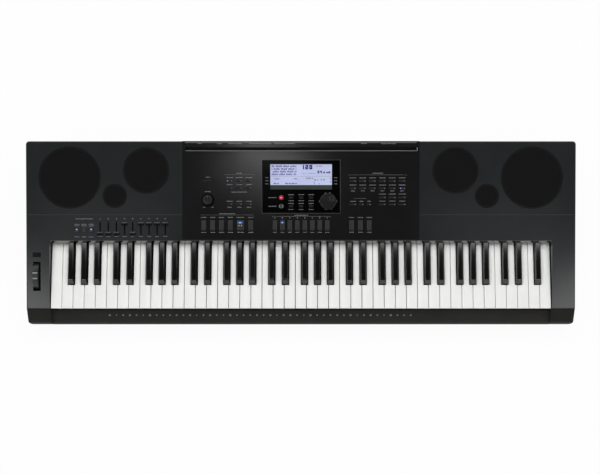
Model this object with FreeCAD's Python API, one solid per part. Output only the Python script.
"""Arranger keyboard with seventy-six keys, a sloping control deck and six round speaker openings.

X runs to the player's right, Y to the rear and Z up. The origin is on the table under the middle.
Most controls are laid out on the sloping deck, in deck coordinates: x across, s up the slope from
the front end of the cheeks, and n outwards from the deck's surface.
"""
import FreeCAD, Part
import math
import os

V = FreeCAD.Vector
HALF = 0.5

# Whole body
BODY_WIDTH = 1158.0
BODY_DEPTH = 381.0
BODY_HEIGHT = 122.0
REAR_STAND_OFF = 3.0
CHEEK_HEIGHT = 73.0
RAIL_DEPTH = 31.0
WALL = 3.0
FOOT_HEIGHT = 5.0
PART_LINE = 45.0
SOCKETS_BELOW_PART_LINE = 12.0
REAR_CORNER_RADIUS = 7.0
DECK_EDGE_RADIUS = 2.2
OVERRUN = 2.0
POST_SIDES = 8
BARREL_SIDES = 12
SPEAKER_SIDES = 16
KNOB_SIDES = 24
CREASE_UP_SLOPE = 198.3
CREASE_WIDTH = 0.9
CREASE_DEPTH = 0.5

# Front rail and its corner blocks
CORNER_TOP = 70.0
RAIL_TOP = 57.0
NOSE_TOP = 45.0
NOSE_SETBACK = 4.0
NOSE_MIDDLE = 30.0
BLOCK_NOSE_TOP = 56.0
BLOCK_NOSE_MIDDLE = 36.5
FRONT_UNDERCUT = 11.0
FRONT_TAPER = 1.0
FRONT_CORNER_RADIUS = 5.0
RAIL_SLIP_GAP = 0.8

# Keys
SKIPPED_PITCH_COUNT = 4
KEY_COUNT = 76
NATURAL_PITCH = 23.5
KEY_GAP = 1.0
KEY_SIDE_CLEARANCE = 1.4
KEY_SKIRT = 18.0
KEY_WALL = 1.8
KEY_ROOF = 2.2
KEY_FRONT_SETBACK = 0.8
KEY_EDGE = 1.0
KEY_DIP = 10.0
PIVOT_FROM_KEY_FRONT = 202.0
PIVOT_ABOVE_SKIRT = 2.0
TAIL_PAST_PIVOT = 9.0
PIVOT_BLOCK = 9.0
RIDGE_RADIUS = 3.0
RIDGE_CLEARANCE = 0.1
STOP_CLEARANCE = 0.3
SHARP_WIDTH = 13.0
SHARP_TOP_WIDTH = 9.6
SHARP_RISE = 12.0
SHARP_FRONT_FROM_KEY_FRONT = 51.0
SHARP_FRONT_SLOPE = 9.5
SHARP_SHOULDER_GAP = 1.6
SHARP_EDGE = 1.0
SHARP_UNDER_LIP = 8.0

# Lip over the keys
LIP_UP_SLOPE = 146.0
LIP_REACH = 5.5
LIP_FACE = 7.0
LIP_FOOT_ABOVE_SHARPS = 2.2

# Key bed, felts and contacts
BED_MARGIN = 3.0
BED_WALL = 3.0
BED_FRONT_WALL = 8.0
BED_FRONT_FROM_KEY_FRONT = 12.0
FELT_THICKNESS = 3.0
FELT_WIDTH = 5.0
GUIDE_WIDTH = 6.0
GUIDE_THICKNESS = 2.4
GUIDE_HEADROOM = 0.8
CONTACT_FROM_PIVOT = 77.0
CONTACT_WEB = 3.0
CONTACT_BOARD_WIDTH = 32.0
BOARD_THICKNESS = 1.6
RUBBER_STRIP = 1.2
RUBBER_STRIP_WIDTH = 12.0
DOME_HEIGHT = 3.0
DOME_WIDTH = 8.0
DOME_DRAFT = 1.6

# Speaker openings: woofer, tweeter and bass port on each side
WOOFER_X = 486.6
WOOFER_S = 276.7
WOOFER_RADIUS = 65.2
TWEETER_X = 391.8
TWEETER_S = 237.9
TWEETER_RADIUS = 25.2
PORT_X = 325.4
PORT_S = 291.7
PORT_RADIUS = 48.4
GRILLE_CLEARANCE = 0.3
SPEAKER_RIM = 4.0
GRILLE_SUNK = 0.6
SPEAKER_FLANGE = 3.0
SPEAKER_FLANGE_MARGIN = 5.0
BASKET_DEPTH = 32.0
MAGNET_RADIUS = 36.0
MAGNET_HEIGHT = 20.0
CONE_SHEET = 1.2
CONE_DEPTH = 18.0
CONE_EDGE = 9.0
DUST_CAP_RADIUS = 17.0
DUST_CAP_HEIGHT = 4.5
TWEETER_DEPTH = 18.0
PORT_TUBE_DEPTH = 46.0
PORT_TUBE_SHEET = 2.0
PORT_THROAT_RADIUS = 30.0

# Control panel and the music-rest slot
PANEL_HALF_WIDTH = 249.4
PANEL_THICKNESS = 2.5
PANEL_CLEARANCE = 0.3
PANEL_LEDGE = 4.0
LEDGE_THICKNESS = 3.0
SLOT_S = 337.0
SLOT_WIDTH = 6.8
SLOT_LENGTH = 486.0
SLOT_DEPTH = 14.0
CHANNEL_WALL = 2.0

# Display
WINDOW_X = 0.6
WINDOW_S = 257.7
WINDOW_WIDTH = 165.7
WINDOW_LENGTH = 113.0
WINDOW_THICKNESS = 1.4
SCREEN_X = 0.5
SCREEN_S = 278.2
SCREEN_WIDTH = 130.0
SCREEN_LENGTH = 53.4
SCREEN_SUNK = 0.9
LCD_BODY_MARGIN = 4.0
LCD_BODY_THICKNESS = 6.0

# Push buttons: places up the slope, pitches and cap sizes
CAP_CLEARANCE = 0.35
CAP_PROUD = 1.3
CAP_BEVEL = 0.7
CAP_DEPTH = 4.0
CAP_STEM = 3.0
CAP_STEM_REACH = 7.2
BUTTON_TRAVEL = 1.0
CONTACT_PAD = 5.0
PANEL_BOARD_DEPTH = 10.4
SMALL_CAP_LENGTH = 4.2
RHYTHM_X = -129.7
RHYTHM_PITCH = 20.3
RHYTHM_COUNT = 3
RHYTHM_CAP = 13.0
RHYTHM_ROWS_S = (269.8, 254.5)
TEMPO_S = 220.8
TONE_X = 161.4
TONE_PITCH = 20.7
TONE_COUNT = 6
TONE_CAP = 14.2
TONE_ROWS_S = (269.4, 254.1)
FUNCTION_X = 192.6
FUNCTION_PITCH = 20.8
FUNCTION_COUNT = 3
FUNCTION_CAP = 15.4
FUNCTION_ROWS_S = (234.7, 220.0)
TRANSPOSE_S = 220.0
TRANSPOSE_XS = (109.5, 127.5, 143.5)
TRANSPOSE_CAPS = (15.4, 10.8, 9.8)
LONG_ROW_S = 176.1
LONG_CAP_LENGTH = 21.3
ACCOMPANIMENT_XS = (-204.7, -185.9, -167.3, -148.6, -127.4, -105.5)
ACCOMPANIMENT_CAPS = (10.0, 10.0, 10.0, 10.0, 14.4, 10.0)
REGISTRATION_X = 0.5
REGISTRATION_PITCH = 15.77
REGISTRATION_COUNT = 8
REGISTRATION_CAP = 9.3
SPLIT_X = 125.4
SPLIT_PITCH = 18.6
SPLIT_COUNT = 3
SPLIT_CAP = 9.8
CURSOR_X = 0.5
CURSOR_PITCH = 21.1
CURSOR_COUNT = 3
CURSOR_CAP = 8.6
CURSOR_CAP_LENGTH = 4.6
CURSOR_ROWS_S = (234.5, 216.4)
ROUND_CAP_X = -41.4
ROUND_CAP_RADIUS = 5.0
RECORDER_S = 234.6
SAMPLING_S = 216.3
POWER_X = -195.6
POWER_S = 270.2
POWER_CAP = 22.0
POWER_CAP_LENGTH = 4.6
POWER_RECESS_MARGIN = 3.2
POWER_RECESS_DEPTH = 1.0
MODE_X = -456.7
MODE_PITCH = 15.1
MODE_COUNT = 3
MODE_S = 166.5
MODE_CAP = 8.4
MODE_CAP_LENGTH = 10.5
MODULATION_X = -556.9
MODULATION_S = 114.1
MODULATION_CAP = 15.8
MODULATION_CAP_LENGTH = 8.6

# Sliders
SLIDER_COUNT = 9
SLIDER_FIRST_X = -422.9
SLIDER_PITCH = 17.16
SLIDER_LOW_S = 159.1
SLIDER_TRAVEL = 20.6
SLIDERS_DOWN = (1, 2, 3, 5)
SLIDER_CAP = 12.0
SLIDER_CAP_LENGTH = 7.0
SLIDER_CAP_HEIGHT = 7.5
SLIDER_CAP_LIFT = 0.6
SLIDER_CAP_DRAFT = 1.4
SLIDER_RIDGE_LENGTH = 2.4
SLIDER_STEM = 1.8
SLIDER_STEM_LENGTH = 5.0
SLIDER_SLOT_CLEARANCE = 0.45
SLIDER_SLOT_MARGIN = 1.6
SLIDER_POT_TOP = 8.2
SLIDER_POT_WIDTH = 9.0
SLIDER_POT_LENGTH = 36.0
SLIDER_BOARD_DEPTH = 15.4
SLIDER_BOARD_MARGIN = 9.0
BOARD_POST_RADIUS = 3.0

# Turning controls
VOLUME_X = -195.7
VOLUME_S = 229.9
VOLUME_RADIUS = 10.8
VOLUME_HEIGHT = 13.0
DIAL_X = 57.2
DIAL_S = 226.9
DIAL_RADIUS = 17.3
DIAL_HEIGHT = 5.0
DIAL_DISH_X = 7.4
DIAL_DISH_S = 5.1
DIAL_DISH_RADIUS = 5.0
DIAL_DISH_DEPTH = 1.2
KNOB_LIFT = 0.6
KNOB_EDGE = 1.0
KNOB_DRAFT = 0.8
KNOB_GRIPS = 12
KNOB_GRIP = 1.2
POINTER_WIDTH = 1.4
POINTER_DEPTH = 0.6
SHAFT_RADIUS = 3.0
SHAFT_CLEARANCE = 0.5
POT_RADIUS = 8.0
POT_TOP = 4.0

# Pitch wheel
WHEEL_X = -558.0
WELL_X = -556.8
WELL_S = 68.4
WELL_WIDTH = 15.8
WELL_LENGTH = 61.2
WELL_WALL = 2.0
WELL_DEPTH = 30.0
WHEEL_RADIUS = 30.0
WHEEL_WIDTH = 12.0
WHEEL_SUNK = 17.6
WHEEL_EDGE = 1.4
WHEEL_FLAT = 8.0
WHEEL_GROOVE_RADIUS = 6.5
WHEEL_GROOVE_DEPTH = 2.6
AXLE_RADIUS = 3.0
AXLE_CLEARANCE = 0.06

# Sockets in the rear wall, below the part line
JACK_XS = (-172.0, -140.0, 133.0)
MIC_JACK_X = 170.0
DC_X = -214.0
USB_X = -32.0
MIC_KNOB_X = 201.4
BARREL_RADIUS = 5.5
BARREL_CLEARANCE = 0.3
JACK_BORE_RADIUS = 3.25
JACK_BORE_DEPTH = 24.0
JACK_BODY_WIDTH = 14.0
JACK_BODY_HEIGHT = 16.0
JACK_BODY_DEPTH = 28.0
NUT_RADIUS = 7.0
DC_BORE_RADIUS = 2.8
DC_PIN_RADIUS = 1.0
DC_BORE_DEPTH = 9.5
DC_BODY_DEPTH = 14.0
USB_WIDTH = 12.0
USB_HEIGHT = 11.0
USB_PORT_WIDTH = 8.5
USB_PORT_HEIGHT = 7.8
USB_PORT_DEPTH = 9.5
USB_DEPTH = 15.0
MIC_KNOB_RADIUS = 5.8
MIC_KNOB_LIFT = 0.4
MIC_POT_DEPTH = 12.0
HOOK_X = -231.5
HOOK_WIDTH = 8.0
HOOK_FOOT = 64.0
HOOK_HEIGHT = 10.0
HOOK_THICKNESS = 1.4

# Feet, screws and the main board
FOOT_RADIUS = 11.0
FOOT_XS = (-500.0, 0.0, 500.0)
FOOT_FROM_FRONT = 42.0
FOOT_FROM_REAR = 39.0
SCREW_SIDE_X = 565.0
SCREW_FROM_FRONT = 52.0
SCREW_REAR_X = 262.0
SCREW_FROM_REAR = 11.0
SCREW_SHANK_RADIUS = 1.5
SCREW_HEAD_RADIUS = 3.6
SCREW_HEAD_HEIGHT = 2.4
SCREW_LENGTH = 20.0
SCREW_CLEARANCE = 0.3
BOSS_RADIUS = 5.5
BOSS_HEIGHT = 16.0
COUNTERBORE_DEPTH = 7.0
POST_RADIUS = 4.5
MAIN_BOARD_WIDTH = 260.0
MAIN_BOARD_DEPTH = 80.0
MAIN_BOARD_FROM_REAR = 39.0
MAIN_BOARD_LIFT = 8.0
CHIP_SIZE = 26.0
CHIP_HEIGHT = 2.6
HEAT_SINK_WIDTH = 60.0
HEAT_SINK_HEIGHT = 22.0
HEAT_SINK_DEPTH = 14.0

# Places that follow from the sizes above
FRONT_Y = -(BODY_DEPTH + REAR_STAND_OFF) / 2
REAR_Y = FRONT_Y + BODY_DEPTH
DECK_FRONT_Y = FRONT_Y + RAIL_DEPTH
DECK_RISE = BODY_HEIGHT - CHEEK_HEIGHT
DECK_ANGLE = math.atan2(DECK_RISE, REAR_Y - DECK_FRONT_Y)
DECK_LENGTH = math.hypot(DECK_RISE, REAR_Y - DECK_FRONT_Y)
DECK_FRAME = FreeCAD.Placement(V(0, DECK_FRONT_Y, CHEEK_HEIGHT),
                               FreeCAD.Rotation(V(1, 0, 0), math.degrees(DECK_ANGLE)))
HALF_WIDTH = BODY_WIDTH / 2
FLOOR_TOP = FOOT_HEIGHT + WALL
PITCH_NAMES = ("c", "c_sharp", "d", "d_sharp", "e", "f", "f_sharp", "g", "g_sharp", "a", "a_sharp", "b")
SHARP_PITCHES = [pitch for pitch, name in enumerate(PITCH_NAMES) if name.endswith("sharp")]
OCTAVE = len(PITCH_NAMES)
PITCHES = [(SKIPPED_PITCH_COUNT + step) % OCTAVE for step in range(KEY_COUNT)]
NATURAL_COUNT = sum(pitch not in SHARP_PITCHES for pitch in PITCHES)
KEYS_HALF = NATURAL_COUNT * NATURAL_PITCH / 2
BAY_HALF = KEYS_HALF + KEY_GAP
KEY_FRONT_Y = DECK_FRONT_Y + KEY_FRONT_SETBACK
LIP_TOP_Y = DECK_FRONT_Y + LIP_UP_SLOPE * math.cos(DECK_ANGLE)
LIP_TOP = CHEEK_HEIGHT + LIP_UP_SLOPE * math.sin(DECK_ANGLE)
LIP_FOOT_Y = LIP_TOP_Y - LIP_REACH
LIP_FOOT = LIP_TOP - LIP_FACE
SHARP_TOP = LIP_FOOT - LIP_FOOT_ABOVE_SHARPS
KEY_TOP = SHARP_TOP - SHARP_RISE
KEY_BOTTOM = KEY_TOP - KEY_SKIRT
PIVOT_Y = KEY_FRONT_Y + PIVOT_FROM_KEY_FRONT
PIVOT_Z = KEY_BOTTOM + PIVOT_ABOVE_SKIRT
KEY_REAR_Y = PIVOT_Y + TAIL_PAST_PIVOT
PRESS_SLOPE = KEY_DIP / PIVOT_FROM_KEY_FRONT
SHARP_FRONT_Y = KEY_FRONT_Y + SHARP_FRONT_FROM_KEY_FRONT
SHOULDER_Y = SHARP_FRONT_Y - SHARP_SHOULDER_GAP
SLIDER_XS = [SLIDER_FIRST_X + SLIDER_PITCH * step for step in range(SLIDER_COUNT)]
SLIDER_MIDDLE_S = SLIDER_LOW_S + SLIDER_TRAVEL / 2
SPEAKER_PLACES = ((WOOFER_X, WOOFER_S, WOOFER_RADIUS), (TWEETER_X, TWEETER_S, TWEETER_RADIUS),
                  (PORT_X, PORT_S, PORT_RADIUS))
SOCKET_Z = PART_LINE - SOCKETS_BELOW_PART_LINE
FOOT_YS = (FRONT_Y + FOOT_FROM_FRONT, REAR_Y - FOOT_FROM_REAR)
SCREW_FRONT_Y = FRONT_Y + SCREW_FROM_FRONT
SCREW_REAR_Y = REAR_Y - SCREW_FROM_REAR
SCREW_SIDE_YS = (SCREW_FRONT_Y, (SCREW_FRONT_Y + SCREW_REAR_Y) / 2, SCREW_REAR_Y)
MAIN_BOARD_REAR_Y = REAR_Y - MAIN_BOARD_FROM_REAR
MAIN_BOARD_FRONT_Y = MAIN_BOARD_REAR_Y - MAIN_BOARD_DEPTH
SCREW_PLACES = ([(side * SCREW_SIDE_X, y) for side in (-1, 1) for y in SCREW_SIDE_YS]
                + [(side * SCREW_REAR_X, SCREW_REAR_Y) for side in (-1, 1)])
REAR_INNER_Y = REAR_Y - WALL


def box(x0, x1, y0, y1, z0, z1):
    """Block between two corners."""
    return Part.makeBox(x1 - x0, y1 - y0, z1 - z0, V(x0, y0, z0))


def side_prism(outline, x0, x1):
    """Outline of (y, z) points carried straight along X."""
    points = [V(x0, y, z) for y, z in outline]
    return Part.Face(Part.makePolygon(points + points[:1])).extrude(V(x1 - x0, 0, 0))


def plan_prism(outline, z0, z1):
    """Outline of (x, y) points carried straight up."""
    points = [V(x, y, z0) for x, y in outline]
    return Part.Face(Part.makePolygon(points + points[:1])).extrude(V(0, 0, z1 - z0))


def rod_x(y, z, radius, x0, x1):
    """Round bar along X."""
    return Part.makeCylinder(radius, x1 - x0, V(x0, y, z), V(1, 0, 0))


def rod_y(x, z, radius, y0, y1):
    """Round bar along Y."""
    return Part.makeCylinder(radius, y1 - y0, V(x, y0, z), V(0, 1, 0))


def rod_z(x, y, radius, z0, z1):
    """Round bar along Z, or along the deck's normal for deck coordinates."""
    return Part.makeCylinder(radius, z1 - z0, V(x, y, z0))


def ring_points(x, y, radius, sides):
    """Corners of a regular outline with flat sides to its left and right."""
    turns = [math.tau * (step + HALF) / sides for step in range(sides)]
    return [(x + radius * math.cos(turn), y + radius * math.sin(turn)) for turn in turns]


def post(x, y, radius, z0, z1):
    """Eight-sided bar along Z, for the small round pieces that stay out of sight."""
    return plan_prism(ring_points(x, y, radius, POST_SIDES), z0, z1)


def barrel(x, radius, y0, y1, sides=BARREL_SIDES):
    """Many-sided bar along Y at the height of the sockets, for the round pieces of the rear wall."""
    points = [V(px, y0, pz) for px, pz in ring_points(x, SOCKET_Z, radius, sides)]
    return Part.Face(Part.makePolygon(points + points[:1])).extrude(V(0, y1 - y0, 0))


def slab(x, s, width, length, n0, n1):
    """Block centred on a place of the deck."""
    return box(x - width / 2, x + width / 2, s - length / 2, s + length / 2, n0, n1)


def ring_of(x0, x1, y0, y1, z):
    """Four corners of a level rectangle, anticlockwise from above."""
    return [V(x0, y0, z), V(x1, y0, z), V(x1, y1, z), V(x0, y1, z)]


def between(foot, top):
    """Solid with flat sides between a lower and an upper ring of four corners."""
    rings = [list(reversed(foot)), top]
    for step in range(len(foot)):
        after = (step + 1) % len(foot)
        rings.append([foot[step], foot[after], top[after], top[step]])
    faces = [Part.Face(Part.makePolygon(ring + ring[:1])) for ring in rings]
    return Part.Solid(Part.Shell(faces))


def frustum(x, s, width, length, n0, n1, draft):
    """Block with four sides that lean in by the draft towards its top."""
    def ring(inset, n):
        return ring_of(x - width / 2 + inset, x + width / 2 - inset, s - length / 2 + inset,
                       s + length / 2 - inset, n)
    return between(ring(0, n0), ring(draft, n1))


def turned(profile, x, s, sides):
    """Piece turned about the deck's normal from (radius, n) points, as flat facets round a place."""
    corners = ring_points(0, 0, 1, sides)
    faces = []
    for (r0, n0), (r1, n1) in zip(profile, profile[1:] + profile[:1]):
        for (ax, ay), (bx, by) in zip(corners, corners[1:] + corners[:1]):
            ring = [V(x + r0 * ax, s + r0 * ay, n0), V(x + r0 * bx, s + r0 * by, n0),
                    V(x + r1 * bx, s + r1 * by, n1), V(x + r1 * ax, s + r1 * ay, n1)]
            ring = [place for step, place in enumerate(ring) if place != ring[step - 1]]
            if len(ring) > 2:
                faces.append(Part.Face(Part.makePolygon(ring + ring[:1])))
    return Part.Solid(Part.Shell(faces))


def on_deck(shape):
    """Carry a shape from deck coordinates to its place on the body."""
    placed = shape.copy()
    placed.Placement = DECK_FRAME.multiply(placed.Placement)
    return placed


def deck_height(y):
    """Height of the deck's surface at a depth."""
    return CHEEK_HEIGHT + (y - DECK_FRONT_Y) * math.tan(DECK_ANGLE)


def row(middle, pitch, count):
    """Evenly spaced places about a middle."""
    return [middle + pitch * (step - (count - 1) / 2) for step in range(count)]


def save(name, shapes):
    """Write one node, a single solid or a group of separate ones."""
    solids = shapes if isinstance(shapes, list) else [shapes]
    shape = solids[0] if len(solids) == 1 else Part.makeCompound(solids)
    shape.exportStep("parts/" + name + ".step")


def upright_edges(solid, y):
    """Edges that stand upright at a depth."""
    def upright(edge):
        return abs(edge.tangentAt(edge.FirstParameter).z) > HALF
    return [edge for edge in solid.Edges if abs(edge.CenterOfMass.y - y) < CREASE_DEPTH and upright(edge)]


def rounded_body(z0, z1):
    """Plan of the whole body, with its tapered front corners, carried straight up."""
    outline = [(-HALF_WIDTH, REAR_Y), (-HALF_WIDTH, DECK_FRONT_Y), (FRONT_TAPER - HALF_WIDTH, FRONT_Y),
               (HALF_WIDTH - FRONT_TAPER, FRONT_Y), (HALF_WIDTH, DECK_FRONT_Y), (HALF_WIDTH, REAR_Y)]
    prism = plan_prism(outline, z0, z1)
    prism = prism.makeFillet(REAR_CORNER_RADIUS, upright_edges(prism, REAR_Y))
    return prism.makeFillet(FRONT_CORNER_RADIUS, upright_edges(prism, FRONT_Y))


def tray_stretch(x0, x1, nose_top, nose_middle):
    """Solid tray from x0 to x1 with a sloping front top and a rounded nose of the given heights."""
    nose = Part.Arc(V(x0, FRONT_Y + NOSE_SETBACK, nose_top), V(x0, FRONT_Y, nose_middle),
                    V(x0, FRONT_Y + FRONT_UNDERCUT, FOOT_HEIGHT)).toShape()
    rest = Part.makePolygon([V(x0, FRONT_Y + FRONT_UNDERCUT, FOOT_HEIGHT), V(x0, REAR_Y, FOOT_HEIGHT),
                             V(x0, REAR_Y, PART_LINE), V(x0, DECK_FRONT_Y, PART_LINE),
                             V(x0, DECK_FRONT_Y, CORNER_TOP), V(x0, FRONT_Y + NOSE_SETBACK, nose_top)])
    return Part.Face(Part.Wire([nose] + rest.Edges)).extrude(V(x1 - x0, 0, 0))


def lower_case():
    """Bottom tray with the front rail, its higher corner blocks, and bosses for screws and the main board."""
    blocks = [tray_stretch(x0, x1, BLOCK_NOSE_TOP, BLOCK_NOSE_MIDDLE)
              for x0, x1 in ((-HALF_WIDTH, -BAY_HALF), (BAY_HALF, HALF_WIDTH))]
    shell = tray_stretch(-BAY_HALF, BAY_HALF, NOSE_TOP, NOSE_MIDDLE).fuse(blocks)
    shell = shell.common(rounded_body(0, BODY_HEIGHT))
    rail_cut = side_prism([(FRONT_Y - OVERRUN, NOSE_TOP), (FRONT_Y + NOSE_SETBACK, NOSE_TOP),
                           (DECK_FRONT_Y - RAIL_SLIP_GAP, RAIL_TOP),
                           (DECK_FRONT_Y - RAIL_SLIP_GAP, PART_LINE),
                           (DECK_FRONT_Y + OVERRUN, PART_LINE), (DECK_FRONT_Y + OVERRUN, BODY_HEIGHT),
                           (FRONT_Y - OVERRUN, BODY_HEIGHT)], -BAY_HALF, BAY_HALF)
    tray = box(WALL - HALF_WIDTH, HALF_WIDTH - WALL, DECK_FRONT_Y, REAR_INNER_Y, FLOOR_TOP, BODY_HEIGHT)
    rail_hollow = side_prism([(FRONT_Y + FRONT_UNDERCUT + WALL, FLOOR_TOP),
                              (DECK_FRONT_Y + OVERRUN, FLOOR_TOP),
                              (DECK_FRONT_Y + OVERRUN, PART_LINE),
                              (DECK_FRONT_Y - RAIL_SLIP_GAP - WALL, PART_LINE),
                              (FRONT_Y + NOSE_SETBACK + WALL, NOSE_TOP - WALL - WALL),
                              (FRONT_Y + WALL + WALL, NOSE_MIDDLE)], -BAY_HALF, BAY_HALF)
    shell = shell.cut([rail_cut, tray, rail_hollow])
    bosses = [post(x, y, BOSS_RADIUS, FLOOR_TOP - WALL / 2, FLOOR_TOP + BOSS_HEIGHT)
              for x, y in SCREW_PLACES]
    bosses += [post(x, y, BOSS_RADIUS, FLOOR_TOP - WALL / 2, FLOOR_TOP + MAIN_BOARD_LIFT)
               for x, y in main_board_corners()]
    shell = shell.fuse(bosses)
    holes = [post(x, y, SCREW_SHANK_RADIUS + SCREW_CLEARANCE, 0, BODY_HEIGHT) for x, y in SCREW_PLACES]
    holes += [post(x, y, SCREW_HEAD_RADIUS + SCREW_CLEARANCE, 0, FOOT_HEIGHT + COUNTERBORE_DEPTH)
              for x, y in SCREW_PLACES]
    return shell.cut(holes + socket_holes()).removeSplitter()


def upper_outline(inset, foot):
    """Side outline of the upper case, moved inwards by the inset."""
    front = DECK_FRONT_Y + inset
    rear = REAR_Y - inset
    drop = inset / math.cos(DECK_ANGLE)
    return [(front, foot), (front, deck_height(front) - drop), (rear, deck_height(rear) - drop),
            (rear, foot)]


def upper_shell():
    """Deck, cheeks, side walls and rear wall as one hollow moulding, before its openings."""
    outer = side_prism(upper_outline(0, PART_LINE), -HALF_WIDTH, HALF_WIDTH)
    outer = outer.common(rounded_body(0, BODY_HEIGHT))
    deck_face = max(outer.Faces, key=lambda face: face.CenterOfMass.z)
    outer = outer.makeFillet(DECK_EDGE_RADIUS, deck_face.Edges)
    hollow = side_prism(upper_outline(WALL, PART_LINE - OVERRUN), WALL - HALF_WIDTH, HALF_WIDTH - WALL)
    shell = outer.cut(hollow)
    cheek_rear = LIP_TOP_Y + WALL
    cheek = upper_outline(WALL / 2, PART_LINE)[:2] + [(cheek_rear, deck_height(LIP_TOP_Y) - WALL / 2),
                                                      (cheek_rear, PART_LINE)]
    walls = [side_prism(cheek, side * BAY_HALF, side * (BAY_HALF + WALL)) for side in (-1, 1)]
    lip = side_prism([(LIP_FOOT_Y, LIP_FOOT), (LIP_TOP_Y, LIP_TOP - WALL / 2),
                      (LIP_TOP_Y + WALL, LIP_TOP - WALL / 2),
                      (LIP_FOOT_Y + WALL, LIP_FOOT)], -BAY_HALF - WALL / 2, BAY_HALF + WALL / 2)
    bay = side_prism([(FRONT_Y, 0), (FRONT_Y, BODY_HEIGHT), (LIP_TOP_Y, BODY_HEIGHT), (LIP_TOP_Y, LIP_TOP),
                      (LIP_FOOT_Y, LIP_FOOT), (LIP_TOP_Y + WALL + OVERRUN, LIP_FOOT),
                      (LIP_TOP_Y + WALL + OVERRUN, 0)], -BAY_HALF, BAY_HALF)
    return shell.fuse(walls + [lip]).cut(bay)


def panel_seat():
    """Ledge under the control panel's border, in deck coordinates."""
    foot = -PANEL_THICKNESS - LEDGE_THICKNESS
    rear = DECK_LENGTH - WALL / 2
    outer = box(-PANEL_HALF_WIDTH - WALL, PANEL_HALF_WIDTH + WALL, LIP_UP_SLOPE + WALL, rear, foot,
                -WALL / 2)
    inner = box(PANEL_LEDGE - PANEL_HALF_WIDTH, PANEL_HALF_WIDTH - PANEL_LEDGE,
                LIP_UP_SLOPE + WALL + PANEL_LEDGE,
                rear - PANEL_LEDGE, foot - OVERRUN, OVERRUN)
    return outer.cut(inner)


def panel_pocket():
    """Room for the control panel and the window under it, in deck coordinates."""
    half = PANEL_HALF_WIDTH + PANEL_CLEARANCE
    pocket = box(-half, half, 0, DECK_LENGTH + OVERRUN, -PANEL_THICKNESS, OVERRUN)
    window = box(PANEL_LEDGE - PANEL_HALF_WIDTH, PANEL_HALF_WIDTH - PANEL_LEDGE,
                 LIP_UP_SLOPE + WALL + PANEL_LEDGE,
                 DECK_LENGTH - WALL / 2 - PANEL_LEDGE, -WALL - LEDGE_THICKNESS, OVERRUN)
    return [pocket, window]


def deck_openings():
    """Cuts through the side decks, in deck coordinates."""
    cuts = []
    for x, s, radius in SPEAKER_PLACES:
        for side in (-1, 1):
            cuts.append(rod_z(side * x, s, radius + GRILLE_CLEARANCE, -WALL - OVERRUN, OVERRUN))
    slot = SLIDER_TRAVEL + SLIDER_STEM_LENGTH + SLIDER_SLOT_MARGIN
    cuts += [slab(x, SLIDER_MIDDLE_S, SLIDER_STEM + SLIDER_SLOT_CLEARANCE * 2, slot, -WALL - OVERRUN,
                  OVERRUN)
             for x in SLIDER_XS]
    cuts += [slab(x, MODE_S, MODE_CAP + CAP_CLEARANCE * 2, MODE_CAP_LENGTH + CAP_CLEARANCE * 2,
                  -WALL - OVERRUN, OVERRUN)
             for x in row(MODE_X, MODE_PITCH, MODE_COUNT)]
    cuts.append(slab(MODULATION_X, MODULATION_S, MODULATION_CAP + CAP_CLEARANCE * 2,
                     MODULATION_CAP_LENGTH + CAP_CLEARANCE * 2, -WALL - OVERRUN, OVERRUN))
    cuts.append(slab(WELL_X, WELL_S, WELL_WIDTH, WELL_LENGTH, -WALL - OVERRUN, OVERRUN))
    for side in (-1, 1):
        middle = side * (PANEL_HALF_WIDTH + HALF_WIDTH) / 2
        cuts.append(slab(middle, CREASE_UP_SLOPE, HALF_WIDTH - PANEL_HALF_WIDTH + OVERRUN, CREASE_WIDTH,
                         -CREASE_DEPTH, OVERRUN))
    return cuts


def cord_hook():
    """Small hook on the rear wall that takes the strain of a power lead."""
    out = REAR_Y + REAR_STAND_OFF
    outline = [(REAR_INNER_Y + WALL / 2, HOOK_FOOT), (out, HOOK_FOOT), (out, HOOK_FOOT + HOOK_HEIGHT),
               (out - HOOK_THICKNESS, HOOK_FOOT + HOOK_HEIGHT),
               (out - HOOK_THICKNESS, HOOK_FOOT + HOOK_THICKNESS),
               (REAR_INNER_Y + WALL / 2, HOOK_FOOT + HOOK_THICKNESS)]
    return side_prism(outline, HOOK_X - HOOK_WIDTH / 2, HOOK_X + HOOK_WIDTH / 2)


def upper_case():
    """Upper moulding with every opening that the controls and speakers need."""
    shell = upper_shell().fuse([on_deck(panel_seat()), cord_hook()])
    posts = [post(x, y, POST_RADIUS, FLOOR_TOP + BOSS_HEIGHT, deck_height(y - POST_RADIUS) - WALL / 2)
             for x, y in SCREW_PLACES]
    posts += [on_deck(post(x, s, BOARD_POST_RADIUS, -SLIDER_BOARD_DEPTH, -WALL / 2))
              for x, s in slider_board_corners()]
    pilots = [post(x, y, SCREW_SHANK_RADIUS + SCREW_CLEARANCE, 0,
                   FOOT_HEIGHT + COUNTERBORE_DEPTH + SCREW_LENGTH)
              for x, y in SCREW_PLACES]
    cuts = [on_deck(cut) for cut in panel_pocket() + deck_openings()]
    return shell.fuse(posts).cut(cuts + pilots).removeSplitter()


def slider_board_corners():
    """Places of the four posts that carry the slider board."""
    left = MODE_X - MODE_PITCH - SLIDER_BOARD_MARGIN
    right = SLIDER_XS[-1] + SLIDER_BOARD_MARGIN
    reach = SLIDER_POT_LENGTH / 2 - BOARD_POST_RADIUS
    return [(x, SLIDER_MIDDLE_S + end * reach) for x in (left, right) for end in (-1, 1)]


def panel_board_corners():
    """Places of the posts that carry the panel's switch board."""
    reach = PANEL_HALF_WIDTH - PANEL_LEDGE - BOARD_POST_RADIUS * 2
    levels = (LONG_ROW_S, FUNCTION_ROWS_S[0], RHYTHM_ROWS_S[0])
    return [(side * reach, s) for side in (-1, 1) for s in levels]


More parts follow.
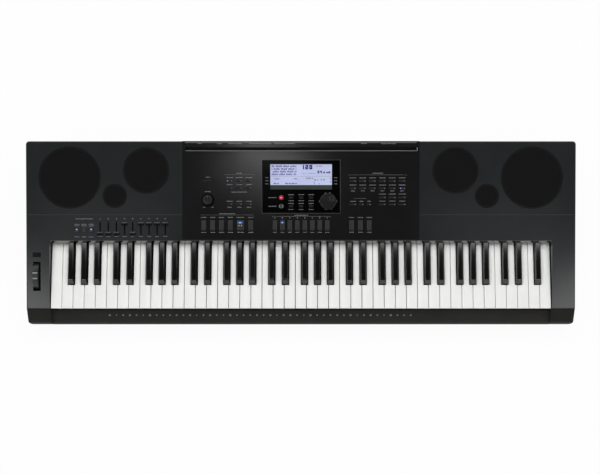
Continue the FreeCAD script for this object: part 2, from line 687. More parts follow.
def main_board_corners():
    """Places of the bosses that carry the main board."""
    reach = MAIN_BOARD_WIDTH / 2 - BOSS_RADIUS
    return [(side * reach, y) for side in (-1, 1)
            for y in (MAIN_BOARD_FRONT_Y + BOSS_RADIUS, MAIN_BOARD_REAR_Y - BOSS_RADIUS)]


def button_banks():
    """Every bank of rectangular caps on the control panel: name to (x, s, width, length) places."""
    def grid(xs, ss, width, length):
        return [(x, s, width, length) for s in ss for x in xs]
    rhythm = row(RHYTHM_X, RHYTHM_PITCH, RHYTHM_COUNT)
    transpose = [(x, TRANSPOSE_S, width, SMALL_CAP_LENGTH) for x, width in zip(TRANSPOSE_XS, TRANSPOSE_CAPS)]
    accompaniment = [(x, LONG_ROW_S, width, LONG_CAP_LENGTH)
                     for x, width in zip(ACCOMPANIMENT_XS, ACCOMPANIMENT_CAPS)]
    registration = row(REGISTRATION_X, REGISTRATION_PITCH, REGISTRATION_COUNT)
    return {
        "power_button": [(POWER_X, POWER_S, POWER_CAP, POWER_CAP_LENGTH)],
        "rhythm_buttons": grid(rhythm, RHYTHM_ROWS_S, RHYTHM_CAP, SMALL_CAP_LENGTH),
        "tempo_buttons": grid(rhythm, [TEMPO_S], RHYTHM_CAP, SMALL_CAP_LENGTH),
        "accompaniment_buttons": accompaniment,
        "registration_buttons": grid(registration, [LONG_ROW_S], REGISTRATION_CAP, LONG_CAP_LENGTH),
        "split_buttons": grid(row(SPLIT_X, SPLIT_PITCH, SPLIT_COUNT), [LONG_ROW_S], SPLIT_CAP,
                              LONG_CAP_LENGTH),
        "tone_buttons": grid(row(TONE_X, TONE_PITCH, TONE_COUNT), TONE_ROWS_S, TONE_CAP, SMALL_CAP_LENGTH),
        "function_buttons": transpose + grid(row(FUNCTION_X, FUNCTION_PITCH, FUNCTION_COUNT),
                                             FUNCTION_ROWS_S, FUNCTION_CAP,
                                             SMALL_CAP_LENGTH),
        "cursor_buttons": grid(row(CURSOR_X, CURSOR_PITCH, CURSOR_COUNT), CURSOR_ROWS_S, CURSOR_CAP,
                               CURSOR_CAP_LENGTH),
    }


def round_buttons():
    """The two round caps beside the cursor buttons."""
    return {"recorder_button": (ROUND_CAP_X, RECORDER_S), "sampling_button": (ROUND_CAP_X, SAMPLING_S)}


def cap(x, s, width, length):
    """Push-button cap: bevelled top, straight body through the panel, and a stem above its switch."""
    body = slab(x, s, width, length, -CAP_DEPTH, CAP_PROUD - CAP_BEVEL)
    top = frustum(x, s, width, length, CAP_PROUD - CAP_BEVEL, CAP_PROUD, CAP_BEVEL)
    stem = slab(x, s, CAP_STEM, CAP_STEM, -CAP_STEM_REACH, -CAP_DEPTH)
    return on_deck(body.fuse([top, stem]).removeSplitter())


def round_cap(x, s):
    """Round push-button cap, turned in one piece with its stem."""
    profile = [(0, -CAP_STEM_REACH), (CAP_STEM / 2, -CAP_STEM_REACH), (CAP_STEM / 2, -CAP_DEPTH),
               (ROUND_CAP_RADIUS, -CAP_DEPTH), (ROUND_CAP_RADIUS, CAP_PROUD - CAP_BEVEL),
               (ROUND_CAP_RADIUS - CAP_BEVEL, CAP_PROUD), (0, CAP_PROUD)]
    return on_deck(turned(profile, x, s, KNOB_SIDES))


def cap_holes(foot):
    """Holes for all the caps of the control panel, in deck coordinates."""
    holes = [slab(x, s, width + CAP_CLEARANCE * 2, length + CAP_CLEARANCE * 2, foot, OVERRUN)
             for places in button_banks().values() for x, s, width, length in places]
    return holes + [rod_z(x, s, ROUND_CAP_RADIUS + CAP_CLEARANCE, foot, OVERRUN)
                    for x, s in round_buttons().values()]


def shaft_holes(foot):
    """Holes for the shafts of the volume knob and the dial, in deck coordinates."""
    return [rod_z(x, s, SHAFT_RADIUS + SHAFT_CLEARANCE, foot, OVERRUN)
            for x, s in ((VOLUME_X, VOLUME_S), (DIAL_X, DIAL_S))]


def control_panel():
    """Glossy plate of the middle deck, with posts for its board, from the lip to the rear edge."""
    foot = -PANEL_THICKNESS - OVERRUN
    plate = box(-PANEL_HALF_WIDTH, PANEL_HALF_WIDTH, LIP_UP_SLOPE, DECK_LENGTH, -PANEL_THICKNESS, 0)
    posts = [post(x, s, BOARD_POST_RADIUS, -PANEL_BOARD_DEPTH, -PANEL_THICKNESS / 2)
             for x, s in panel_board_corners()]
    window = slab(WINDOW_X, WINDOW_S, WINDOW_WIDTH + PANEL_CLEARANCE * 2,
                  WINDOW_LENGTH + PANEL_CLEARANCE * 2,
                  -WINDOW_THICKNESS, OVERRUN)
    screen = slab(SCREEN_X, SCREEN_S, SCREEN_WIDTH, SCREEN_LENGTH, foot, OVERRUN)
    slot = slab(0, SLOT_S, SLOT_LENGTH, SLOT_WIDTH, foot, OVERRUN)
    recess = slab(POWER_X, POWER_S, POWER_CAP + POWER_RECESS_MARGIN * 2,
                  POWER_CAP_LENGTH + POWER_RECESS_MARGIN,
                  -POWER_RECESS_DEPTH, OVERRUN)
    cuts = [window, screen, slot, recess] + cap_holes(foot) + shaft_holes(foot)
    return on_deck(plate.fuse(posts).cut(cuts))


def music_rest_channel():
    """Trough under the slot that holds the foot of a music rest."""
    top = -PANEL_THICKNESS
    outer = slab(0, SLOT_S, SLOT_LENGTH + CHANNEL_WALL * 2, SLOT_WIDTH + CHANNEL_WALL * 2,
                 top - SLOT_DEPTH - CHANNEL_WALL, top)
    return on_deck(outer.cut(slab(0, SLOT_S, SLOT_LENGTH, SLOT_WIDTH, top - SLOT_DEPTH, top + OVERRUN)))


def display_window():
    """Glossy sheet round the screen, flush with the panel, that the cursor caps and the dial come through."""
    foot = -WINDOW_THICKNESS - OVERRUN
    sheet = slab(WINDOW_X, WINDOW_S, WINDOW_WIDTH, WINDOW_LENGTH, -WINDOW_THICKNESS, 0)
    screen = slab(SCREEN_X, SCREEN_S, SCREEN_WIDTH, SCREEN_LENGTH, foot, OVERRUN)
    return on_deck(sheet.cut([screen] + cap_holes(foot) + shaft_holes(foot)))


def lcd_module():
    """Liquid-crystal screen: a raised glass that fills the opening, on a wider body under the panel."""
    glass = slab(SCREEN_X, SCREEN_S, SCREEN_WIDTH - PANEL_CLEARANCE * 2, SCREEN_LENGTH - PANEL_CLEARANCE * 2,
                 -PANEL_THICKNESS, -SCREEN_SUNK)
    body = slab(SCREEN_X, SCREEN_S, SCREEN_WIDTH + LCD_BODY_MARGIN * 2, SCREEN_LENGTH + LCD_BODY_MARGIN * 2,
                -PANEL_THICKNESS - LCD_BODY_THICKNESS, -PANEL_THICKNESS)
    return on_deck(body.fuse(glass))


def cap_rows():
    """Middles of the panel's caps, by their place up the slope."""
    places = [(x, s) for bank in button_banks().values() for x, s, width, length in bank]
    places += list(round_buttons().values())
    rows = {}
    for x, s in sorted(places):
        rows.setdefault(s, []).append(x)
    return rows


def contact_pad(xs, s, board_top):
    """Strip of rubber contacts on a board, just below the stems of a row of caps."""
    middle = (xs[0] + xs[-1]) / 2
    length = xs[-1] - xs[0] + CONTACT_PAD
    return slab(middle, s, length, CONTACT_PAD, board_top, -CAP_STEM_REACH - BUTTON_TRAVEL - STOP_CLEARANCE)


def panel_board():
    """Circuit board under the control panel, with contact pads below the caps and two rotary controls."""
    half = PANEL_HALF_WIDTH - PANEL_LEDGE - BOARD_POST_RADIUS
    top = -PANEL_BOARD_DEPTH
    plate = box(-half, half, LONG_ROW_S - LONG_CAP_LENGTH / 2, RHYTHM_ROWS_S[0] + LONG_CAP_LENGTH / 2,
                top - BOARD_THICKNESS, top)
    pads = [contact_pad(xs, s, top) for s, xs in cap_rows().items()]
    pots = [post(x, s, POT_RADIUS, top, -POT_TOP) for x, s in ((VOLUME_X, VOLUME_S), (DIAL_X, DIAL_S))]
    return on_deck(plate.fuse(pads + pots))


def slider_board():
    """Circuit board under the left deck, with the slide controls and the switches of the mode buttons."""
    places = slider_board_corners()
    left = places[0][0] - BOARD_POST_RADIUS
    right = places[-1][0] + BOARD_POST_RADIUS
    top = -SLIDER_BOARD_DEPTH
    plate = box(left, right, SLIDER_MIDDLE_S - SLIDER_POT_LENGTH / 2,
                SLIDER_MIDDLE_S + SLIDER_POT_LENGTH / 2,
                top - BOARD_THICKNESS, top)
    pots = [slab(x, SLIDER_MIDDLE_S, SLIDER_POT_WIDTH, SLIDER_POT_LENGTH, top, -SLIDER_POT_TOP)
            for x in SLIDER_XS]
    return on_deck(plate.fuse(pots + [contact_pad(row(MODE_X, MODE_PITCH, MODE_COUNT), MODE_S, top)]))


def slider(index):
    """Slide-control cap with a finger ridge, on a stem that runs in its slot."""
    x = SLIDER_XS[index - 1]
    s = SLIDER_LOW_S if index in SLIDERS_DOWN else SLIDER_LOW_S + SLIDER_TRAVEL
    waist = SLIDER_CAP_HEIGHT / 2
    foot = frustum(x, s, SLIDER_CAP, SLIDER_CAP_LENGTH, SLIDER_CAP_LIFT, waist, SLIDER_CAP_DRAFT)
    ridge = frustum(x, s, SLIDER_CAP, SLIDER_RIDGE_LENGTH, SLIDER_CAP_LIFT, SLIDER_CAP_HEIGHT,
                    SLIDER_CAP_LIFT)
    stem = slab(x, s, SLIDER_STEM, SLIDER_STEM_LENGTH, STOP_CLEARANCE - SLIDER_POT_TOP, waist)
    return on_deck(foot.fuse([ridge, stem]).removeSplitter())


def volume_knob():
    """Gripped knob with a pointer groove, in one piece with its shaft."""
    top = KNOB_LIFT + VOLUME_HEIGHT
    profile = [(0, STOP_CLEARANCE - POT_TOP), (SHAFT_RADIUS, STOP_CLEARANCE - POT_TOP),
               (SHAFT_RADIUS, KNOB_LIFT),
               (VOLUME_RADIUS, KNOB_LIFT), (VOLUME_RADIUS - KNOB_DRAFT, top - KNOB_EDGE),
               (VOLUME_RADIUS - KNOB_DRAFT - KNOB_EDGE, top), (0, top)]
    knob = turned(profile, VOLUME_X, VOLUME_S, KNOB_SIDES)
    groove = slab(VOLUME_X + VOLUME_RADIUS, VOLUME_S, KNOB_GRIP * 2, KNOB_GRIP, KNOB_LIFT - KNOB_EDGE / 2,
                  top + OVERRUN)
    pointer = slab(VOLUME_X, VOLUME_S + VOLUME_RADIUS / 2, POINTER_WIDTH, VOLUME_RADIUS, top - POINTER_DEPTH,
                   top + OVERRUN)
    cuts = [pointer]
    for step in range(KNOB_GRIPS):
        grip = groove.copy()
        grip.rotate(V(VOLUME_X, VOLUME_S, 0), V(0, 0, 1), math.degrees(math.tau * (step + HALF) / KNOB_GRIPS))
        cuts.append(grip)
    return on_deck(knob.cut(cuts))


def data_dial():
    """Low wide dial with a shallow round dish for a fingertip, in one piece with its shaft."""
    top = KNOB_LIFT + DIAL_HEIGHT
    profile = [(0, STOP_CLEARANCE - POT_TOP), (SHAFT_RADIUS, STOP_CLEARANCE - POT_TOP),
               (SHAFT_RADIUS, KNOB_LIFT),
               (DIAL_RADIUS, KNOB_LIFT), (DIAL_RADIUS, top - KNOB_EDGE),
               (DIAL_RADIUS - KNOB_EDGE, top), (0, top)]
    hollow = [(0, top - DIAL_DISH_DEPTH), (DIAL_DISH_RADIUS - DIAL_DISH_DEPTH, top - DIAL_DISH_DEPTH),
              (DIAL_DISH_RADIUS, top), (DIAL_DISH_RADIUS, top + OVERRUN), (0, top + OVERRUN)]
    dish = turned(hollow, DIAL_X + DIAL_DISH_X, DIAL_S + DIAL_DISH_S, KNOB_SIDES)
    return on_deck(turned(profile, DIAL_X, DIAL_S, KNOB_SIDES).cut(dish))


def pitch_wheel():
    """Thumb wheel with a cross groove at its middle, cut off flat below its axle."""
    disc = rod_x(WELL_S, -WHEEL_SUNK, WHEEL_RADIUS, WHEEL_X - WHEEL_WIDTH / 2, WHEEL_X + WHEEL_WIDTH / 2)
    rims = [edge for edge in disc.Edges if edge.Length > WHEEL_WIDTH * 2]
    disc = disc.makeChamfer(WHEEL_EDGE, rims)
    ends = WHEEL_X - WHEEL_WIDTH, WHEEL_X + WHEEL_WIDTH
    crown = WHEEL_RADIUS - WHEEL_SUNK
    groove = rod_x(WELL_S, crown + WHEEL_GROOVE_RADIUS - WHEEL_GROOVE_DEPTH, WHEEL_GROOVE_RADIUS, *ends)
    bore = rod_x(WELL_S, -WHEEL_SUNK, AXLE_RADIUS + AXLE_CLEARANCE, *ends)
    flat = slab(WHEEL_X, WELL_S, WHEEL_WIDTH * 2, WHEEL_RADIUS * 2 + OVERRUN,
                -WHEEL_SUNK - WHEEL_RADIUS - OVERRUN,
                -WHEEL_SUNK - WHEEL_FLAT)
    return on_deck(disc.cut([groove, bore, flat]))


def wheel_bracket():
    """Well round the pitch wheel, open below, with the axle across it."""
    outer = slab(WELL_X, WELL_S, WELL_WIDTH + WELL_WALL * 2, WELL_LENGTH + WELL_WALL * 2, -WELL_DEPTH, -WALL)
    inner = slab(WELL_X, WELL_S, WELL_WIDTH, WELL_LENGTH, -WELL_DEPTH - OVERRUN, OVERRUN)
    half = WELL_WIDTH / 2 + WELL_WALL / 2
    axle = rod_x(WELL_S, -WHEEL_SUNK, AXLE_RADIUS, WELL_X - half, WELL_X + half)
    return on_deck(outer.cut(inner).fuse(axle))


def natural_shape(position, pitch, first, last):
    """Left and right edges of a natural's head and tail: narrow beside a sharp, full at the ends."""
    middle = PITCH_NAMES.index("f")
    group = [other for other in range(OCTAVE)
             if other not in SHARP_PITCHES and (other < middle) == (pitch < middle)]
    place = group.index(pitch)
    slot = SHARP_WIDTH + KEY_SIDE_CLEARANCE * 2
    tail = (len(group) * NATURAL_PITCH - (len(group) - 1) * slot) / len(group)
    left = position * NATURAL_PITCH - KEYS_HALF
    group_left = left - place * NATURAL_PITCH
    head_left = left + KEY_GAP / 2
    head_right = left + NATURAL_PITCH - KEY_GAP / 2
    tail_left = group_left + place * (tail + slot)
    tail_right = tail_left + tail
    if place == 0 or first:
        tail_left = head_left
    if place == len(group) - 1 or last:
        tail_right = head_right
    return head_left, head_right, tail_left, tail_right


def natural_outline(edges, inset, front, shoulder, rear):
    """Plan outline of a natural, moved inwards by the inset on its sides."""
    head_left, head_right, tail_left, tail_right = edges
    points = [(head_left + inset, front), (head_right - inset, front)]
    if tail_right < head_right:
        points += [(head_right - inset, shoulder), (tail_right - inset, shoulder)]
    points += [(tail_right - inset, rear), (tail_left + inset, rear)]
    if tail_left > head_left:
        points += [(tail_left + inset, shoulder), (head_left + inset, shoulder)]
    return points


def pivot_saddle(x0, x1):
    """Square notch in a key's tail that sits astride the ridge that the key rocks on."""
    reach = RIDGE_RADIUS + RIDGE_CLEARANCE
    return box(x0 - OVERRUN, x1 + OVERRUN, PIVOT_Y - reach, PIVOT_Y + reach, KEY_BOTTOM - OVERRUN,
               PIVOT_Z + reach)


def natural_key(edges):
    """Hollow natural with a bevelled brow, a web over its contact and a saddle on the pivot ridge."""
    key = plan_prism(natural_outline(edges, 0, KEY_FRONT_Y, SHOULDER_Y, KEY_REAR_Y), KEY_BOTTOM, KEY_TOP)
    brow_middle = V((edges[0] + edges[1]) / 2, KEY_FRONT_Y, KEY_TOP)
    brow = min(key.Edges, key=lambda edge: edge.CenterOfMass.distanceToPoint(brow_middle))
    key = key.makeChamfer(KEY_EDGE, [brow])
    web_y = PIVOT_Y - CONTACT_FROM_PIVOT
    tail_edges = edges[2], edges[3], edges[2], edges[3]
    front_hollow = natural_outline(edges, KEY_WALL, KEY_FRONT_Y + KEY_WALL, SHOULDER_Y - KEY_WALL,
                                   web_y - CONTACT_WEB / 2)
    rear_hollow = natural_outline(tail_edges, KEY_WALL, web_y + CONTACT_WEB / 2, SHOULDER_Y,
                                  PIVOT_Y - PIVOT_BLOCK)
    cuts = [plan_prism(outline, KEY_BOTTOM - OVERRUN, KEY_TOP - KEY_ROOF)
            for outline in (front_hollow, rear_hollow)]
    return key.cut(cuts + [pivot_saddle(edges[2], edges[3])])


def sharp_key(x):
    """Sharp with leaning sides and front on a straight skirt, lower where it runs in under the lip."""
    half = SHARP_WIDTH / 2
    step_y = LIP_FOOT_Y + SHARP_UNDER_LIP
    skirt = box(x - half, x + half, SHARP_FRONT_Y, KEY_REAR_Y, KEY_BOTTOM, KEY_TOP)
    lean = (SHARP_WIDTH - SHARP_TOP_WIDTH) / 2
    blade = between(ring_of(x - half, x + half, SHARP_FRONT_Y, step_y, KEY_TOP),
                    ring_of(x - half + lean, x + half - lean, SHARP_FRONT_Y + SHARP_FRONT_SLOPE, step_y,
                            SHARP_TOP))
    brow = [edge for edge in blade.Edges
            if edge.CenterOfMass.z > SHARP_TOP - KEY_GAP / 2 and edge.CenterOfMass.y < step_y - KEY_GAP]
    blade = blade.makeChamfer(SHARP_EDGE, brow)
    web_y = PIVOT_Y - CONTACT_FROM_PIVOT
    top = SHARP_TOP - SHARP_RISE / 2
    inner = SHARP_TOP_WIDTH / 2 - KEY_WALL
    low = KEY_BOTTOM - OVERRUN
    hollows = [box(x - inner, x + inner, SHARP_FRONT_Y + SHARP_FRONT_SLOPE, web_y - CONTACT_WEB / 2, low,
                   top),
               box(x - inner, x + inner, web_y + CONTACT_WEB / 2, PIVOT_Y - PIVOT_BLOCK, low,
                   KEY_TOP - KEY_ROOF)]
    return skirt.fuse(blade).cut(hollows + [pivot_saddle(x - half, x + half)]).removeSplitter()


def key_plan():
    """Every key from left to right: pitch, and edges of a natural or middle of a sharp."""
    plan = []
    position = 0
    slot = SHARP_WIDTH + KEY_SIDE_CLEARANCE * 2
    for index, pitch in enumerate(PITCHES):
        if pitch in SHARP_PITCHES:
            previous = plan[-1][1]
            plan.append((pitch, previous[3] + slot / 2))
        else:
            plan.append((pitch, natural_shape(position, pitch, index == 0, index == KEY_COUNT - 1)))
            position += 1
    return plan


def key_groups():
    """All the keys of each pitch, which are the same moulding."""
    groups = {name + "_keys": [] for name in PITCH_NAMES}
    for pitch, place in key_plan():
        key = sharp_key(place) if pitch in SHARP_PITCHES else natural_key(place)
        groups[PITCH_NAMES[pitch] + "_keys"].append(key)
    return groups


def key_middles():
    """Middle of every key over its contact."""
    return [place if pitch in SHARP_PITCHES else (place[2] + place[3]) / 2 for pitch, place in key_plan()]


def contact_heights():
    """Height of the contact board's foot and of the rubber domes' tops."""
    dome_top = KEY_BOTTOM - CONTACT_FROM_PIVOT * PRESS_SLOPE - STOP_CLEARANCE
    return dome_top - DOME_HEIGHT - RUBBER_STRIP - BOARD_THICKNESS, dome_top


def bed_front():
    """Depth and height of the wall under the fronts of the naturals."""
    y = KEY_FRONT_Y + BED_FRONT_FROM_KEY_FRONT
    pressed = KEY_BOTTOM - (PIVOT_Y - y) * PRESS_SLOPE
    return y, pressed - STOP_CLEARANCE - FELT_THICKNESS


def keybed_frame():
    """Frame under the keys: front stop wall with guides, contact shelf and the keys' pivot ridge."""
    half = BAY_HALF - BED_MARGIN
    front, stop = bed_front()
    shelf = contact_heights()[0]
    low = FLOOR_TOP
    web_y = PIVOT_Y - CONTACT_FROM_PIVOT
    shelf_front = web_y - CONTACT_BOARD_WIDTH / 2
    shelf_rear = web_y + CONTACT_BOARD_WIDTH / 2
    rear_stop = KEY_BOTTOM - STOP_CLEARANCE - FELT_THICKNESS
    web = RIDGE_RADIUS / 2
    outline = [(front, low), (shelf_front + BED_WALL, low), (shelf_front + BED_WALL, shelf - BED_WALL),
               (shelf_rear - BED_WALL, shelf - BED_WALL), (shelf_rear - BED_WALL, low), (KEY_REAR_Y, low),
               (KEY_REAR_Y, rear_stop), (PIVOT_Y + web, rear_stop), (PIVOT_Y + web, PIVOT_Z),
               (PIVOT_Y - web, PIVOT_Z), (PIVOT_Y - web, low + BED_WALL), (shelf_rear, low + BED_WALL),
               (shelf_rear, shelf), (shelf_front, shelf), (shelf_front, low + BED_WALL),
               (front + BED_FRONT_WALL, low + BED_WALL), (front + BED_FRONT_WALL, stop),
               (front, stop)]
    frame = side_prism(outline, -half, half)
    ridge = rod_x(PIVOT_Y, PIVOT_Z, RIDGE_RADIUS, -half, half)
    guide_y = front + BED_FRONT_WALL - GUIDE_THICKNESS
    guide_top = KEY_TOP - KEY_ROOF - KEY_DIP - GUIDE_HEADROOM
    heads = [(place[0] + place[1]) / 2 for pitch, place in key_plan() if pitch not in SHARP_PITCHES]
    guides = [box(x - GUIDE_WIDTH / 2, x + GUIDE_WIDTH / 2, guide_y, guide_y + GUIDE_THICKNESS,
                  stop - BED_WALL, guide_top)
              for x in heads]
    return frame.fuse([ridge] + guides).removeSplitter()


def key_stop_felts():
    """Two felt strips: one under the key fronts, one under the tails."""
    half = BAY_HALF - BED_MARGIN
    front, stop = bed_front()
    rear_stop = KEY_BOTTOM - STOP_CLEARANCE - FELT_THICKNESS
    return [box(-half, half, front, front + FELT_WIDTH, stop, stop + FELT_THICKNESS),
            box(-half, half, KEY_REAR_Y - FELT_WIDTH, KEY_REAR_Y, rear_stop, rear_stop + FELT_THICKNESS)]


def contact_board():
    """Long circuit board under the keys."""
    half = BAY_HALF - BED_MARGIN
    web_y = PIVOT_Y - CONTACT_FROM_PIVOT
    foot = contact_heights()[0]
    return box(-half, half, web_y - CONTACT_BOARD_WIDTH / 2, web_y + CONTACT_BOARD_WIDTH / 2, foot,
               foot + BOARD_THICKNESS)


def contact_rubber():
    """Rubber strip with one dome under each key's web."""
    half = BAY_HALF - BED_MARGIN
    web_y = PIVOT_Y - CONTACT_FROM_PIVOT
    foot, top = contact_heights()
    strip_top = top - DOME_HEIGHT
    strip = box(-half, half, web_y - RUBBER_STRIP_WIDTH / 2, web_y + RUBBER_STRIP_WIDTH / 2,
                strip_top - RUBBER_STRIP,
                strip_top)
    domes = [frustum(x, web_y, DOME_WIDTH, DOME_WIDTH, strip_top, top, DOME_DRAFT) for x in key_middles()]
    return strip.fuse(domes)


def grille(x, s, radius):
    """Grille disc, sunk a little in its opening, that stands on the speaker's flange."""
    return on_deck(rod_z(x, s, radius, -WALL, -GRILLE_SUNK))


def woofer(x):
    """Speaker basket and magnet as one turned piece, dished for its cone."""
    top = -WALL
    rim = WOOFER_RADIUS + SPEAKER_FLANGE_MARGIN
    inner = WOOFER_RADIUS - SPEAKER_RIM
    foot = top - BASKET_DEPTH
    profile = [(inner, top), (rim, top), (rim, top - SPEAKER_FLANGE), (MAGNET_RADIUS, foot),
               (MAGNET_RADIUS, foot - MAGNET_HEIGHT), (0, foot - MAGNET_HEIGHT), (0, foot),
               (DUST_CAP_RADIUS, foot), (inner, top - SPEAKER_FLANGE)]
    return on_deck(turned(profile, x, WOOFER_S, SPEAKER_SIDES))


def woofer_cone(x):
    """Paper cone with its flat edge and dust cap."""
    edge = WOOFER_RADIUS - SPEAKER_RIM
    top = -WALL - SPEAKER_FLANGE + CONE_SHEET
    foot = top - CONE_DEPTH
    profile = [(edge, top), (edge, top - CONE_SHEET), (edge - CONE_EDGE, top - CONE_SHEET),
               (DUST_CAP_RADIUS, foot - CONE_SHEET), (0, foot - CONE_SHEET), (0, foot + DUST_CAP_HEIGHT),
               (DUST_CAP_RADIUS, foot), (edge - CONE_EDGE, top)]
    return on_deck(turned(profile, x, WOOFER_S, SPEAKER_SIDES))


def tweeter(x):
    """Small speaker with a dome, turned as one piece."""
    top = -WALL
    rim = TWEETER_RADIUS + SPEAKER_FLANGE_MARGIN
    inner = TWEETER_RADIUS - SPEAKER_RIM
    foot = top - TWEETER_DEPTH
    profile = [(inner, top), (rim, top), (rim, top - SPEAKER_FLANGE), (inner, foot), (0, foot),
               (0, top - SPEAKER_FLANGE), (inner, top - SPEAKER_FLANGE * 2)]
    return on_deck(turned(profile, x, TWEETER_S, SPEAKER_SIDES))


def bass_port(x):
    """Flared tube under the third opening."""
    top = -WALL
    rim = PORT_RADIUS + SPEAKER_FLANGE_MARGIN
    mouth = PORT_RADIUS - SPEAKER_RIM
    foot = top - PORT_TUBE_DEPTH
    profile = [(mouth, top), (rim, top), (rim, top - SPEAKER_FLANGE),
               (mouth + PORT_TUBE_SHEET, top - SPEAKER_FLANGE),
               (PORT_THROAT_RADIUS + PORT_TUBE_SHEET, foot), (PORT_THROAT_RADIUS, foot)]
    return on_deck(turned(profile, x, PORT_S, SPEAKER_SIDES))


def pair(make, x):
    """The same piece on the left and on the right."""
    return [make(side * x) for side in (-1, 1)]


def socket_holes():
    """Holes that the rear wall of the lower case leaves for the sockets."""
    out = REAR_Y + REAR_STAND_OFF
    y0 = REAR_INNER_Y - OVERRUN
    holes = [barrel(x, BARREL_RADIUS + BARREL_CLEARANCE, y0, out) for x in JACK_XS + (MIC_JACK_X, DC_X)]
    holes.append(barrel(MIC_KNOB_X, SHAFT_RADIUS + SHAFT_CLEARANCE, y0, out))
    half_width = USB_WIDTH / 2 + BARREL_CLEARANCE
    half_height = USB_HEIGHT / 2 + BARREL_CLEARANCE
    holes.append(box(USB_X - half_width, USB_X + half_width, y0, out, SOCKET_Z - half_height,
                     SOCKET_Z + half_height))
    return holes


def jack(x, front, nut):
    """Phone jack: a bored barrel through the rear wall, on a square body behind it."""
    body = box(x - JACK_BODY_WIDTH / 2, x + JACK_BODY_WIDTH / 2, REAR_INNER_Y - JACK_BODY_DEPTH,
               REAR_INNER_Y,
               SOCKET_Z - JACK_BODY_HEIGHT / 2, SOCKET_Z + JACK_BODY_HEIGHT / 2)
    solid = body.fuse(barrel(x, BARREL_RADIUS, REAR_INNER_Y - OVERRUN, front))
    if nut:
        solid = solid.fuse(barrel(x, NUT_RADIUS, REAR_Y, front))
    return solid.removeSplitter().cut(rod_y(x, SOCKET_Z, JACK_BORE_RADIUS, front - JACK_BORE_DEPTH,
                                            front + OVERRUN))


def dc_socket():
    """Power inlet with its centre pin."""
    half = JACK_BODY_WIDTH / 2
    body = box(DC_X - half, DC_X + half, REAR_INNER_Y - DC_BODY_DEPTH, REAR_INNER_Y, SOCKET_Z - half,
               SOCKET_Z + half)
    solid = body.fuse(barrel(DC_X, BARREL_RADIUS, REAR_INNER_Y - OVERRUN, REAR_Y, POST_SIDES))
    bore = barrel(DC_X, DC_BORE_RADIUS, REAR_Y - DC_BORE_DEPTH, REAR_Y + OVERRUN, POST_SIDES)
    pin = barrel(DC_X, DC_PIN_RADIUS, REAR_Y - DC_BORE_DEPTH - OVERRUN, REAR_Y - WALL / 2, POST_SIDES)
    return solid.cut(bore).fuse(pin).removeSplitter()


def usb_socket():
    """Square data port."""
    half_width = USB_WIDTH / 2
    half_height = USB_HEIGHT / 2
    shell = box(USB_X - half_width, USB_X + half_width, REAR_Y - USB_DEPTH, REAR_Y, SOCKET_Z - half_height,
                SOCKET_Z + half_height)
    port = box(USB_X - USB_PORT_WIDTH / 2, USB_X + USB_PORT_WIDTH / 2, REAR_Y - USB_PORT_DEPTH,
               REAR_Y + OVERRUN,
               SOCKET_Z - USB_PORT_HEIGHT / 2, SOCKET_Z + USB_PORT_HEIGHT / 2)
    return shell.cut(port)


def mic_pot():
    """Rotary control behind the rear wall."""
    return barrel(MIC_KNOB_X, POT_RADIUS, REAR_INNER_Y - MIC_POT_DEPTH, REAR_INNER_Y)


def rear_sockets():
    """Row of sockets in the rear wall."""
    jacks = [jack(x, REAR_Y, False) for x in JACK_XS]
    return jacks + [jack(MIC_JACK_X, REAR_Y + REAR_STAND_OFF, True), dc_socket(), usb_socket(), mic_pot()]


def mic_level_knob():
    """Small knob on the rear wall, with its shaft."""
    shaft = rod_y(MIC_KNOB_X, SOCKET_Z, SHAFT_RADIUS, REAR_INNER_Y + STOP_CLEARANCE,
                  REAR_Y + MIC_KNOB_LIFT)
    disc = barrel(MIC_KNOB_X, MIC_KNOB_RADIUS, REAR_Y + MIC_KNOB_LIFT, REAR_Y + REAR_STAND_OFF)
    return shaft.fuse(disc)


def main_board():
    """Main circuit board with two chips and the amplifier's heat sink."""
    foot = FLOOR_TOP + MAIN_BOARD_LIFT
    top = foot + BOARD_THICKNESS
    half = MAIN_BOARD_WIDTH / 2
    middle_y = (MAIN_BOARD_FRONT_Y + MAIN_BOARD_REAR_Y) / 2
    plate = box(-half, half, MAIN_BOARD_FRONT_Y, MAIN_BOARD_REAR_Y, foot, top)
    chips = [slab(side * half / 2, middle_y, CHIP_SIZE, CHIP_SIZE, top, top + CHIP_HEIGHT)
             for side in (-1, 1)]
    sink = slab(0, MAIN_BOARD_REAR_Y - HEAT_SINK_DEPTH, HEAT_SINK_WIDTH, HEAT_SINK_DEPTH, top,
                top + HEAT_SINK_HEIGHT)
    return plate.fuse(chips + [sink])


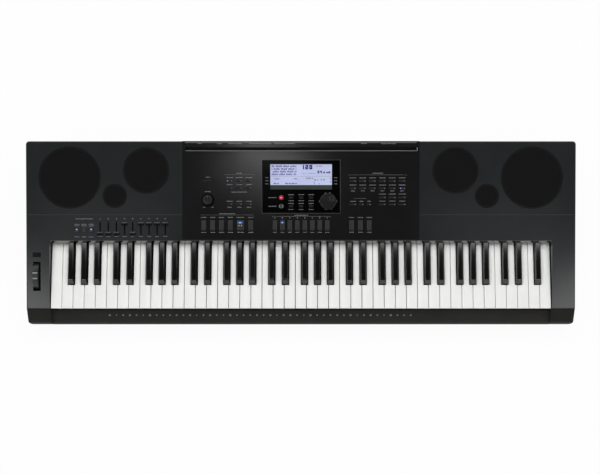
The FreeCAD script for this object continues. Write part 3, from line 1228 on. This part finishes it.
def rubber_feet():
    """Six round feet under the tray."""
    places = [(x, y) for x in FOOT_XS for y in FOOT_YS]
    return [plan_prism(ring_points(x, y, FOOT_RADIUS, BARREL_SIDES), 0, FOOT_HEIGHT) for x, y in places]


def case_screws():
    """Screws that hold the two cases together, in their counterbores."""
    seat = FOOT_HEIGHT + COUNTERBORE_DEPTH
    return [post(x, y, SCREW_HEAD_RADIUS, seat - SCREW_HEAD_HEIGHT, seat).fuse(
        post(x, y, SCREW_SHANK_RADIUS, seat, seat + SCREW_LENGTH - STOP_CLEARANCE)) for x, y in SCREW_PLACES]


def main():
    """Write every node."""
    os.makedirs("parts", exist_ok=True)
    save("lower_case", lower_case())
    save("upper_case", upper_case())
    save("control_panel", control_panel())
    save("music_rest_channel", music_rest_channel())
    save("display_window", display_window())
    save("lcd_module", lcd_module())
    save("panel_board", panel_board())
    save("slider_board", slider_board())
    save("main_board", main_board())
    save("keybed_frame", keybed_frame())
    save("key_stop_felts", key_stop_felts())
    save("contact_board", contact_board())
    save("contact_rubber", contact_rubber())
    save("speaker_grilles", [grille(side * x, s, radius) for x, s, radius in SPEAKER_PLACES
                             for side in (-1, 1)])
    save("woofers", pair(woofer, WOOFER_X))
    save("woofer_cones", pair(woofer_cone, WOOFER_X))
    save("tweeters", pair(tweeter, TWEETER_X))
    save("bass_ports", pair(bass_port, PORT_X))
    save("rear_sockets", rear_sockets())
    save("wheel_bracket", wheel_bracket())
    save("rubber_feet", rubber_feet())
    save("case_screws", case_screws())
    save("pitch_wheel", pitch_wheel())
    save("volume_knob", volume_knob())
    save("data_dial", data_dial())
    save("mic_level_knob", mic_level_knob())
    save("mode_buttons", [cap(x, MODE_S, MODE_CAP, MODE_CAP_LENGTH)
                          for x in row(MODE_X, MODE_PITCH, MODE_COUNT)])
    save("modulation_button", cap(MODULATION_X, MODULATION_S, MODULATION_CAP, MODULATION_CAP_LENGTH))
    for name, places in button_banks().items():
        save(name, [cap(*place) for place in places])
    for name, place in round_buttons().items():
        save(name, round_cap(*place))
    for index in range(1, SLIDER_COUNT + 1):
        save("slider_%d" % index, slider(index))
    for name, keys in key_groups().items():
        save(name, keys)


main()
